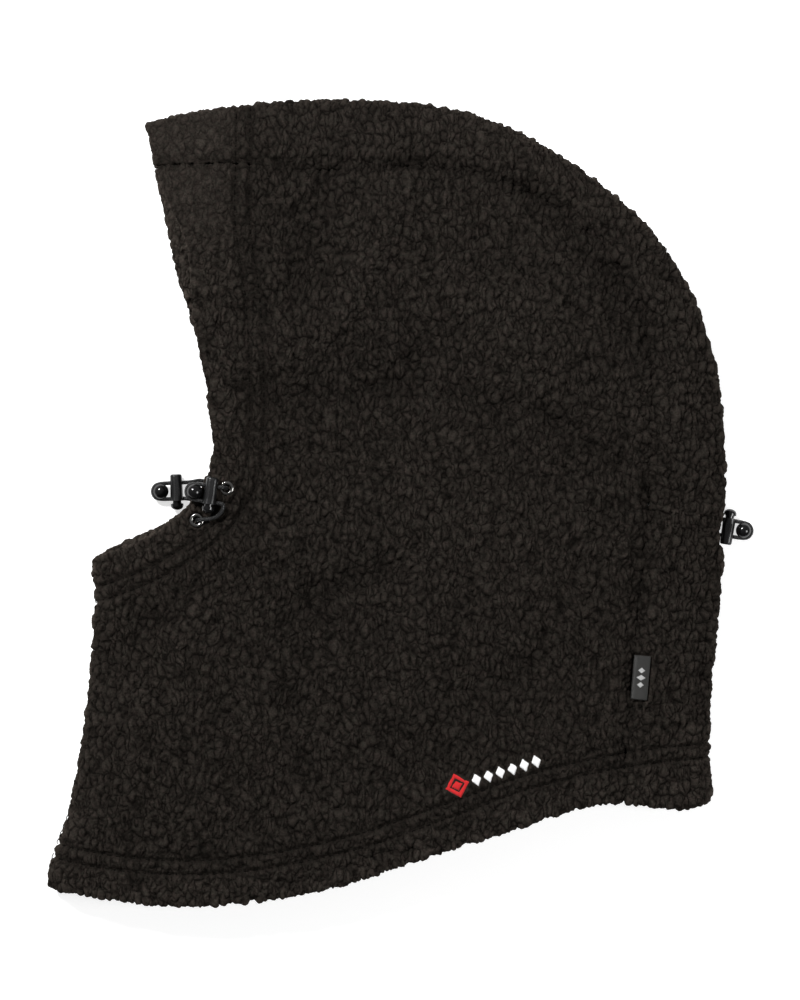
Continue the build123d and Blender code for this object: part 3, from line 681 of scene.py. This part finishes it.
def undulation(xy):
    rise = np.zeros(len(xy))
    for x0, y0, x1, y1, width, height in HOLLOWS + RIDGES:
        start = np.array([x0, y0])
        along = np.array([x1, y1]) - start
        share = np.clip((xy - start) @ along / (along @ along), 0, 1)
        gap = np.linalg.norm(xy - start - share[:, None] * along, axis=1)
        rise += FOLD_DEPTH * height * np.exp(-(gap / width) ** 2)
    return rise


def groove(distance, depth, width):
    return -depth * np.exp(-(distance / width) ** 2)


def pile_nodes():
    """Geometry nodes that push each point out along its normal by the height of the pile there."""
    tree = bpy.data.node_groups.new("pile", "GeometryNodeTree")
    tree.interface.new_socket("Geometry", in_out="INPUT", socket_type="NodeSocketGeometry")
    tree.interface.new_socket("Geometry", in_out="OUTPUT", socket_type="NodeSocketGeometry")
    entry = tree.nodes.new("NodeGroupInput")
    result = tree.nodes.new("NodeGroupOutput")

    def named(kind, name):
        node = tree.nodes.new("GeometryNodeInputNamedAttribute")
        node.data_type = kind
        node.inputs["Name"].default_value = name
        return node.outputs["Attribute"]

    place = named("FLOAT_VECTOR", "rest_place")
    _, height, _ = curl_pattern(tree, place)
    fuzz = maths(tree, "SUBTRACT", noise(tree, place, 1 / 1.3, detail=2.0).outputs["Fac"], 0.5)
    pile = maths(tree, "ADD", maths(tree, "MULTIPLY", height, CURL_HEIGHT),
                 maths(tree, "MULTIPLY", fuzz, 2 * FUZZ_HEIGHT))
    pile = maths(tree, "MULTIPLY_ADD", pile, named("FLOAT", "pile_strength"), named("FLOAT", "pile_push"))
    normal = tree.nodes.new("GeometryNodeInputNormal").outputs[0]
    step = tree.nodes.new("ShaderNodeVectorMath")
    step.operation = "SCALE"
    tree.links.new(normal, step.inputs[0])
    tree.links.new(maths(tree, "MULTIPLY", pile, MM), step.inputs["Scale"])
    move = tree.nodes.new("GeometryNodeSetPosition")
    tree.links.new(entry.outputs[0], move.inputs["Geometry"])
    tree.links.new(step.outputs[0], move.inputs["Offset"])
    tree.links.new(move.outputs[0], result.inputs[0])
    return tree


PILE_NODES = pile_nodes()


def refine(mesh, chosen):
    """Splits each chosen face in four."""
    shape = bmesh.new()
    shape.from_mesh(mesh)
    edges = {edge for face, pick in zip(shape.faces, chosen) if pick for edge in face.edges}
    bmesh.ops.subdivide_edges(shape, edges=list(edges), cuts=1, use_grid_fill=True)
    shape.to_mesh(mesh)
    shape.free()


def point_normals(mesh):
    normals = np.empty(len(mesh.vertices) * 3, np.float32)
    mesh.vertex_normals.foreach_get("vector", normals)
    return normals.reshape(-1, 3).astype(np.float64)


def fleece_piece(name, voxel, shown):
    """The fleece piece that stands for a CAD shell: undulations, seams, and pile of small curls.

    `shown` says, from points and normals, which of its faces are in plain sight and need more detail.
    """
    mesh = remeshed(name, voxel)
    count = len(mesh.polygons)
    centres = np.empty(count * 3, np.float32)
    facing = np.empty(count * 3, np.float32)
    mesh.polygons.foreach_get("center", centres)
    mesh.polygons.foreach_get("normal", facing)
    refine(mesh, shown(centres.reshape(-1, 3) / MM, facing.reshape(-1, 3)))
    where = coordinates(mesh) / MM
    upper = smoothstep(FOLD_HEIGHT, FOLD_HEIGHT + 10, where[:, 2])
    upward = smoothstep(0.15, 0.6, point_normals(mesh)[:, 2])
    xy = where[:, :2]
    crown_gap = distance_to_line(xy, CROWN_LINE)
    fold_rise = upper * (undulation(xy) + groove(crown_gap, *CROWN_GROOVE))
    where[:, 2] += fold_rise
    needle_gap = np.full(len(xy), 1e9)
    for line in FACE_LINES + NECK_LINES:
        needle_gap = np.minimum(needle_gap, distance_to_line(xy, line))
    mesh.vertices.foreach_set("co", (where * MM).astype(np.float32).ravel())
    mesh.update()
    normals = point_normals(mesh)
    rest = mesh.attributes.new("rest_place", "FLOAT_VECTOR", "POINT")
    unrolled = where.copy()
    unrolled[:, :2] += normals[:, :2] * np.clip(FOLD_HEIGHT - where[:, 2:], 0, 20)
    rest.data.foreach_set("vector", unrolled.astype(np.float32).ravel())
    brim = smoothstep(-62, -90, where[:, 0]) * smoothstep(110, 150, where[:, 1])
    seam = np.exp(-(needle_gap / NEEDLE_WIDTH) ** 2)
    under_mark = mark_cover(xy) * upward
    pressed = np.maximum(label_cover(xy), eyelet_cover(xy)) * upward
    strength = (1 - 0.3 * brim) * (1 - 0.6 * seam) * (1 - 0.8 * under_mark) * (1 - 0.75 * pressed)
    push = -PILE_SINK * (1.2 - 0.2 * upward) - NEEDLE_DEPTH * seam * upward + MARK_LIFT * under_mark
    # Painted light and shade, multiplied into the pile's colour by the material: a painted highlight on
    # rims, low edges and hems, painted light on rises and painted shade in hollows, and painted shade
    # along the stitching and the crown seam.
    rim = np.maximum(1 - smoothstep(0.2, 0.8, normals[:, 2]), 1 - smoothstep(7, 16, where[:, 2]))
    hem = hem_cover(xy)
    seam_line = np.exp(-(crown_gap / NEEDLE_WIDTH) ** 2) * upper
    tone = (1 + RIM_LIGHT * rim + HEM_LIGHT * hem) * (1 + FOLD_LIGHT * fold_rise)
    tone *= (1 - NEEDLE_SHADE * seam * upward) * (1 - CROWN_SHADE * seam_line)
    for label, values in (("pile_strength", strength), ("pile_push", push), ("pile_painted_light", tone)):
        layer = mesh.attributes.new(label, "FLOAT", "POINT")
        layer.data.foreach_set("value", values.astype(np.float32))
    mesh.update()
    work = link(bpy.data.objects.new(name + "_work", mesh))
    work.modifiers.new("pile", "NODES").node_group = PILE_NODES
    graph = bpy.context.evaluated_depsgraph_get()
    final = bpy.data.meshes.new_from_object(work.evaluated_get(graph), preserve_all_data_layers=True,
                                            depsgraph=graph)
    bpy.data.objects.remove(work)
    where = coordinates(final)
    where[:, 2] = np.maximum(where[:, 2], 0.05 * MM)
    final.vertices.foreach_set("co", where.astype(np.float32).ravel())
    final.polygons.foreach_set("use_smooth", [True] * len(final.polygons))
    final.materials.clear()
    final.materials.append(FLEECE)
    final.update()
    piece = link(bpy.data.objects.new(name.replace("panel", "fleece"), final))
    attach(piece, "hood")
    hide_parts(name)
    return piece


def seen_from_above(centres, facing):
    return (centres[:, 2] > FOLD_HEIGHT - 6) & (facing[:, 2] > -0.1)


def seen_through_the_face(centres, facing):
    near_edge = centres[:, 0] < -70
    return near_edge & (facing[:, 2] > 0.2) & (centres[:, 2] < FOLD_HEIGHT)


VOXEL = 0.0011
fleece_piece("right_side_panel", VOXEL, seen_through_the_face)
left_fleece = fleece_piece("left_side_panel", VOXEL, seen_from_above)
crown_fleece = fleece_piece("crown_panel", VOXEL, seen_from_above)


GRAPH = bpy.context.evaluated_depsgraph_get()
TOP_SURFACES = [BVHTree.FromObject(piece, GRAPH) for piece in (left_fleece, crown_fleece)]


def top_height(x, y, default=None):
    """Height in millimetres of the finished fleece above the point (x, y), in millimetres."""
    hits = [tree.ray_cast(Vector((x * MM, y * MM, 0.2)), Vector((0, 0, -1)))[0] for tree in TOP_SURFACES]
    heights = [hit.z / MM for hit in hits if hit is not None]
    return max(heights, default=default)


def pile_level(x, y, spread=2.0):
    """Height of the tops of the pile around (x, y), in millimetres."""
    found = []
    for dx in (-spread, 0, spread):
        for dy in (-spread, 0, spread):
            height = top_height(x + dx, y + dy)
            if height is not None:
                found.append(height)
    return sorted(found)[-3] if len(found) > 3 else None


# ---------------------------------------------------------------- threads
def thread_rods(name, rods, radius, material, replaced, body="hood", sides=6):
    """Many short round threads as one mesh; each rod is a list of points in millimetres."""
    vertices = []
    faces = []
    for rod in rods:
        points = [Vector(p) * MM for p in rod]
        rings = []
        for index, point in enumerate(points):
            ahead = points[min(index + 1, len(points) - 1)] - points[max(index - 1, 0)]
            ahead.normalize()
            side = ahead.cross(Vector((0, 0, 1)))
            side = side.normalized() if side.length > 1e-6 else Vector((1, 0, 0))
            up = side.cross(ahead)
            ring = []
            for step in range(sides):
                turn = 2 * math.pi * step / sides
                ring.append(len(vertices))
                vertices.append(point + (side * math.cos(turn) + up * math.sin(turn)) * radius * MM)
            rings.append(ring)
        for low_ring, high_ring in zip(rings, rings[1:]):
            for step in range(sides):
                after = (step + 1) % sides
                faces.append((low_ring[step], low_ring[after], high_ring[after], high_ring[step]))
        faces.append(tuple(reversed(rings[0])))
        faces.append(tuple(rings[-1]))
    piece = mesh_object(name, vertices, faces)
    piece.data.materials.append(material)
    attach(piece, body)
    if replaced:
        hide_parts(*replaced)
    return piece


STITCH = 3.2
STITCH_GAP = 0.7


def stitches_along(lines, depth=0.1):
    """Running stitches on the top of the fleece along the lines, as arched rods."""
    rods = []
    for line in lines:
        steps = np.r_[0, np.cumsum(np.linalg.norm(np.diff(line, axis=0), axis=1))]
        place = 0.0
        while place + STITCH < steps[-1]:
            ends = []
            for share in (0.0, 0.5, 1.0):
                where = place + share * STITCH
                x = np.interp(where, steps, line[:, 0])
                y = np.interp(where, steps, line[:, 1])
                level = top_height(x, y)
                if level is not None and level < FOLD_HEIGHT:
                    level = None
                ends.append(None if level is None else (x, y, level))
            if all(end is not None for end in ends):
                middle = max(ends[1][2], (ends[0][2] + ends[2][2]) / 2) + depth
                rods.append([(ends[0][0], ends[0][1], ends[0][2] - 0.5),
                             (ends[1][0], ends[1][1], middle),
                             (ends[2][0], ends[2][1], ends[2][2] - 0.5)])
            place += STITCH + STITCH_GAP
    return rods


thread_rods("face_hem_stitches", stitches_along(FACE_LINES), 0.3, SEAM_THREAD, ["face_hem_stitching"])
thread_rods("neck_hem_stitches", stitches_along(NECK_LINES), 0.3, SEAM_THREAD, ["neck_hem_stitching"])
thread_rods("crown_seam_stitches", stitches_along([CROWN_LINE], -0.5), 0.25, SEAM_THREAD,
            ["crown_seam_stitching"])


def seam_on_fold(node):
    """Stitches down the fold, following the middle of a CAD seam strip."""
    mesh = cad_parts[node].data
    places = np.array([v.co for v in mesh.vertices]) / MM
    low, high = places[:, 1].min(), places[:, 1].max()
    rods = []
    place = low + 2
    while place + STITCH < high - 2:
        ends = []
        for share in (0.0, 0.5, 1.0):
            y = place + share * STITCH
            near = places[np.abs(places[:, 1] - y) < 4]
            x = near[:, 0].min() if len(near) else places[:, 0].min()
            ends.append((x + (0.5 if share != 0.5 else 0.0), y, FOLD_HEIGHT))
        rods.append(ends)
        place += STITCH + STITCH_GAP
    return rods


thread_rods("front_seam_stitches", seam_on_fold("front_seam_stitching"), 0.25, SEAM_THREAD,
            ["front_seam_stitching"])

channel_rows = []
for side in (-1, 1):
    ends = [station_point(rear, reach, side * 3.4, 0)[:2] for reach in (7, 26, 46)]
    channel_rows.append(spline_points(ends, 1.0))
thread_rods("rear_channel_stitches", stitches_along(channel_rows, 0.0), 0.28, SEAM_THREAD,
            ["rear_channel_stitching"])


# ---------------------------------------------------------------- embroidery
EMBLEM_RING = (0.44, 0.62)      # inner and outer edge of the ring left open, in parts of the emblem


def satin_lozenge(middle, width, height, angle, ring=None, spacing=0.36):
    """Close rows of thread across a lozenge, each arched and diving into the pile at its ends.

    With a ring, the rows leave a lozenge-shaped ring of fleece showing.
    """
    turn = math.radians(angle)
    level = pile_level(*middle)
    rods = []
    count = int(width / spacing)
    for step in range(count):
        along = -width / 2 + (step + 0.5) * width / count
        left_over = 1 - abs(along) / (width / 2)
        reach = height / 2 * left_over + 0.25
        spans = [(-reach, reach)]
        if ring:
            inner = height / 2 * (ring[0] - 1 + left_over)
            outer = height / 2 * (ring[1] - 1 + left_over)
            if outer > 0:
                spans = [(-reach, -outer), (outer, reach)]
            if inner > 0:
                spans.append((-inner, inner))
        for start, end in spans:
            rod = []
            for share in (0, 0.12, 0.35, 0.65, 0.88, 1):
                across = start + (end - start) * share
                x = middle[0] + along * math.cos(turn) - across * math.sin(turn)
                y = middle[1] + along * math.sin(turn) + across * math.cos(turn)
                arch = 0.6 * (1 - abs(2 * share - 1) ** 3)
                rod.append((x, y, level - 0.4 + arch))
            rods.append(rod)
    return rods


emblem, *row = MARKS
emblem_rods = satin_lozenge(along_mark(emblem[0]), *emblem[1:], MARK_ANGLE, EMBLEM_RING)
thread_rods("emblem_threads", emblem_rods, 0.24, RED_THREAD, ["embroidered_emblem"])
row_rods = []
for place, width, height in row:
    row_rods += satin_lozenge(along_mark(place), width, height, MARK_ANGLE)
thread_rods("row_threads", row_rods, 0.24, WHITE_THREAD, ["embroidered_row"])


# ---------------------------------------------------------------- woven label
LABEL_PLY = 0.32


def satin_material():
    """Woven satin: fine ribs across the label, and a thread of lighter weft here and there."""
    material = new_material("label_satin", (0.016, 0.016, 0.0165), 0.5, Specular_IOR_Level=0.35)
    shader = shader_of(material)
    shader.inputs["Anisotropic"].default_value = 0.5
    mapping = object_coordinates(material)
    wave = add_node(material, "ShaderNodeTexWave", bands_direction="Y")
    wave.inputs["Scale"].default_value = 1100
    wave.inputs["Distortion"].default_value = 0.6
    wire(material, mapping, "Vector", wave, "Vector")
    ramp = add_node(material, "ShaderNodeValToRGB")
    ramp.color_ramp.elements[0].color = (0.0062, 0.0061, 0.0056, 1)
    ramp.color_ramp.elements[1].color = (0.0178, 0.0175, 0.0160, 1)
    wire(material, wave, "Fac", ramp, "Fac")
    wire(material, ramp, "Color", shader, "Base Color")
    bump = add_node(material, "ShaderNodeBump")
    bump.inputs["Strength"].default_value = 0.5
    bump.inputs["Distance"].default_value = 0.0001
    wire(material, wave, "Fac", bump, "Height")
    wire(material, bump, "Normal", shader, "Normal")
    return material


LABEL_SATIN = satin_material()


def label_point(along, across, height):
    """World point in millimetres, from the label's own: along from its sewn edge to its fold."""
    yaw = math.radians(LABEL_YAW)
    slope = math.radians(LABEL_SLOPE)
    x = along * math.cos(yaw) - across * math.sin(yaw)
    y = along * math.sin(yaw) + across * math.cos(yaw)
    return (LABEL_SEWN[0] + x * math.cos(slope) + height * math.sin(slope), LABEL_SEWN[1] + y,
            LABEL_SEWN[2] - x * math.sin(slope) + height * math.cos(slope))


def label_profile():
    """The folded strip's section, from its sewn edge round the fold and back: (along, height)."""
    width, _, thick = LABEL_SIZE
    radius = thick / 2
    outside = [(width * share, 0.0) for share in (0, 0.2, 0.4, 0.6, 0.8)]
    for step in range(9):
        turn = math.pi * (step / 8 - 0.5)
        outside.append((width - radius + radius * math.cos(turn), radius + radius * math.sin(turn)))
    outside += [(width * share, thick) for share in (0.8, 0.6, 0.4, 0.2, 0)]
    small = radius - LABEL_PLY
    inside = [(0.0, thick - LABEL_PLY), (width * 0.5, thick - LABEL_PLY)]
    for step in range(5):
        turn = math.pi * (0.5 - step / 4)
        inside.append((width - radius + small * math.cos(turn), radius + small * math.sin(turn)))
    inside += [(width * 0.5, LABEL_PLY), (0.0, LABEL_PLY)]
    return outside + inside


def label_bulge(along, across):
    """How far the label's upper ply stands off the flat, in millimetres."""
    rise = math.sin(math.pi * along / LABEL_SIZE[0])
    return 0.22 * rise * (1 + 0.5 * math.sin(0.55 * across + 0.8))


def woven_label():
    profile = label_profile()
    rows = 28
    vertices = []
    for row_number in range(rows + 1):
        across = LABEL_SIZE[1] * (row_number / rows - 0.5)
        for along, height in profile:
            lift = label_bulge(along, across) * height / LABEL_SIZE[2]
            vertices.append(Vector(label_point(along, across, height + lift)) * MM)
    size = len(profile)
    faces = []
    for row_number in range(rows):
        for step in range(size):
            after = (step + 1) % size
            low = row_number * size
            faces.append((low + step, low + after, low + size + after, low + size + step))
    faces.append(tuple(reversed(range(size))))
    faces.append(tuple(range(rows * size, rows * size + size)))
    piece = mesh_object("label_cloth", vertices, faces)
    piece.data.materials.append(LABEL_SATIN)
    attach(piece, "label")
    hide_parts("woven_label")


woven_label()

LABEL_MARK = [(-3.6, 3.2), (0.0, 4.4), (3.6, 3.2)]      # place along the label, and size across it


def label_mark():
    """Three small lozenges woven in pale thread, one above the other."""
    rods = []
    for place, size in LABEL_MARK:
        count = 9
        for step in range(count):
            across = place + 2.6 * ((step + 0.5) / count - 0.5)
            half = size / 2 * (1 - abs(across - place) / 1.3) + 0.12
            rod = []
            for share in (-1, -0.4, 0.4, 1):
                along = LABEL_SIZE[0] / 2 + share * half
                height = LABEL_SIZE[2] + label_bulge(along, across) + 0.03 - 0.05 * abs(share)
                rod.append(label_point(along, across, height))
            rods.append(rod)
    thread_rods("label_mark", rods, 0.13, LABEL_THREAD, [], body="label")


label_mark()


# ---------------------------------------------------------------- eyelets
UNDERSIDE_POCKET = 3.4
REAR_POCKET_FLOOR = 5.3
EYELET_PROFILE = [        # section of a crimped ring: radius, and height above its seat
    (1.70, -2.2), (1.70, -0.2), (1.74, 0.15), (1.90, 0.48), (2.20, 0.70), (2.60, 0.78), (3.05, 0.72),
    (3.45, 0.50), (3.70, 0.22), (3.75, 0.0), (3.60, -0.12), (2.40, -0.05), (2.15, -0.25), (2.15, -2.2),
]


def eyelet_rings(name, seats, outward):
    """Rounded metal rings, each standing on its seat and facing `outward`."""
    turn = Vector((0, 0, 1)).rotation_difference(Vector(outward)).to_matrix()
    sides = 48
    vertices = []
    faces = []
    for seat in seats:
        start = len(vertices)
        size = len(EYELET_PROFILE)
        for side_number in range(sides):
            angle = 2 * math.pi * side_number / sides
            for radius, height in EYELET_PROFILE:
                spot = Vector((radius * math.cos(angle), radius * math.sin(angle), height))
                vertices.append((turn @ spot + Vector(seat)) * MM)
        for side_number in range(sides):
            here = start + side_number * size
            there = start + (side_number + 1) % sides * size
            for step in range(size):
                after = (step + 1) % size
                faces.append((here + step, there + step, there + after, here + after))
    piece = mesh_object(name + "_rings", vertices, faces)
    piece.data.materials.append(NICKEL)
    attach(piece, "hood")
    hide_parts(name)


eyelet_rings("left_eyelets", [(x, y, seat) for (x, y), seat in zip(LEFT_EYELETS, left_seats)], (0, 0, 1))
eyelet_rings("right_eyelets", [(x, y, UNDERSIDE_POCKET) for x, y in RIGHT_EYELETS], (0, 0, -1))
rear_way = math.radians(rear["towards_fabric"])
rear_seats = [station_point(rear, REAR_POCKET_FLOOR, side * HOLE_HALF, LOCK_REST) for side in (-1, 1)]
eyelet_rings("rear_eyelets", rear_seats, (-math.cos(rear_way), -math.sin(rear_way), 0))


# ---------------------------------------------------------------- carried-over CAD nodes
def finish_node(name, material):
    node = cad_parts[name]
    node.data.materials.clear()
    node.data.materials.append(material)


for side in STATIONS:
    finish_node(f"{side}_lock_barrel", LOCK_PLASTIC)
    finish_node(f"{side}_lock_plunger", BEAD_PLASTIC)
    finish_node(f"{side}_lock_spring", SPRING_WIRE)
    finish_node(f"{side}_cord_bead", BEAD_PLASTIC)
    finish_node(f"{side}_eyelet_washers", NICKEL)
for name in ("face_drawcord_upper", "face_drawcord_lower", "rear_drawcord_left", "rear_drawcord_right"):
    finish_node(name, ELASTIC)
TAPE = new_material("channel_tape", (0.02, 0.019, 0.018), 0.85)
noise_bump(TAPE, 1800, 0.4, 0.0003, stretch=(1, 3, 1))
finish_node("rear_cord_channel", TAPE)


# ---------------------------------------------------------------- table and light
floor = mesh_object("table", [(-4, -4, 0), (4, -4, 0), (4, 4, 0), (-4, 4, 0)], [(0, 1, 2, 3)])
TABLE = new_material("table", (0.66, 0.66, 0.66), 0.9, Specular_IOR_Level=0.1)
shader_of(TABLE).inputs["Emission Color"].default_value = (1, 1, 1, 1)
shader_of(TABLE).inputs["Emission Strength"].default_value = 0.64
floor.data.materials.append(TABLE)


def soft_light(name, place, aim, size, power):
    data = bpy.data.lights.new(name, "AREA")
    data.shape = "DISK"
    data.size = size
    data.energy = power
    lamp = link(bpy.data.objects.new(name, data))
    lamp.location = place
    lamp.rotation_euler = (Vector(aim) - Vector(place)).to_track_quat("-Z", "Y").to_euler()
    return lamp


soft_light("key", (-1.3, 1.7, 2.6), (0, 0, 0), 0.7, 150)
soft_light("fill", (1.9, -0.5, 1.9), (0, 0, 0), 1.2, 42)


def studio_world(brighter_side, low, high):
    """A plain pale room that is brighter on one side."""
    world = bpy.data.worlds.new("studio")
    world.use_nodes = True
    tree = world.node_tree
    direction = tree.nodes.new("ShaderNodeTexCoord").outputs["Generated"]
    share = tree.nodes.new("ShaderNodeVectorMath")
    share.operation = "DOT_PRODUCT"
    feed(tree, share, (direction, Vector(brighter_side).normalized()))
    strength = tree.nodes.new("ShaderNodeMapRange")
    feed(tree, strength, (share.outputs["Value"], -1.0, 1.0, low, high))
    background = tree.nodes["Background"]
    background.inputs["Color"].default_value = (1, 1, 1, 1)
    tree.links.new(strength.outputs[0], background.inputs["Strength"])
    return world


world = studio_world((-0.35, 0.9, 0.15), 0.03, 0.36)
bpy.context.scene.world = world
bpy.context.scene.view_settings.view_transform = "Standard"
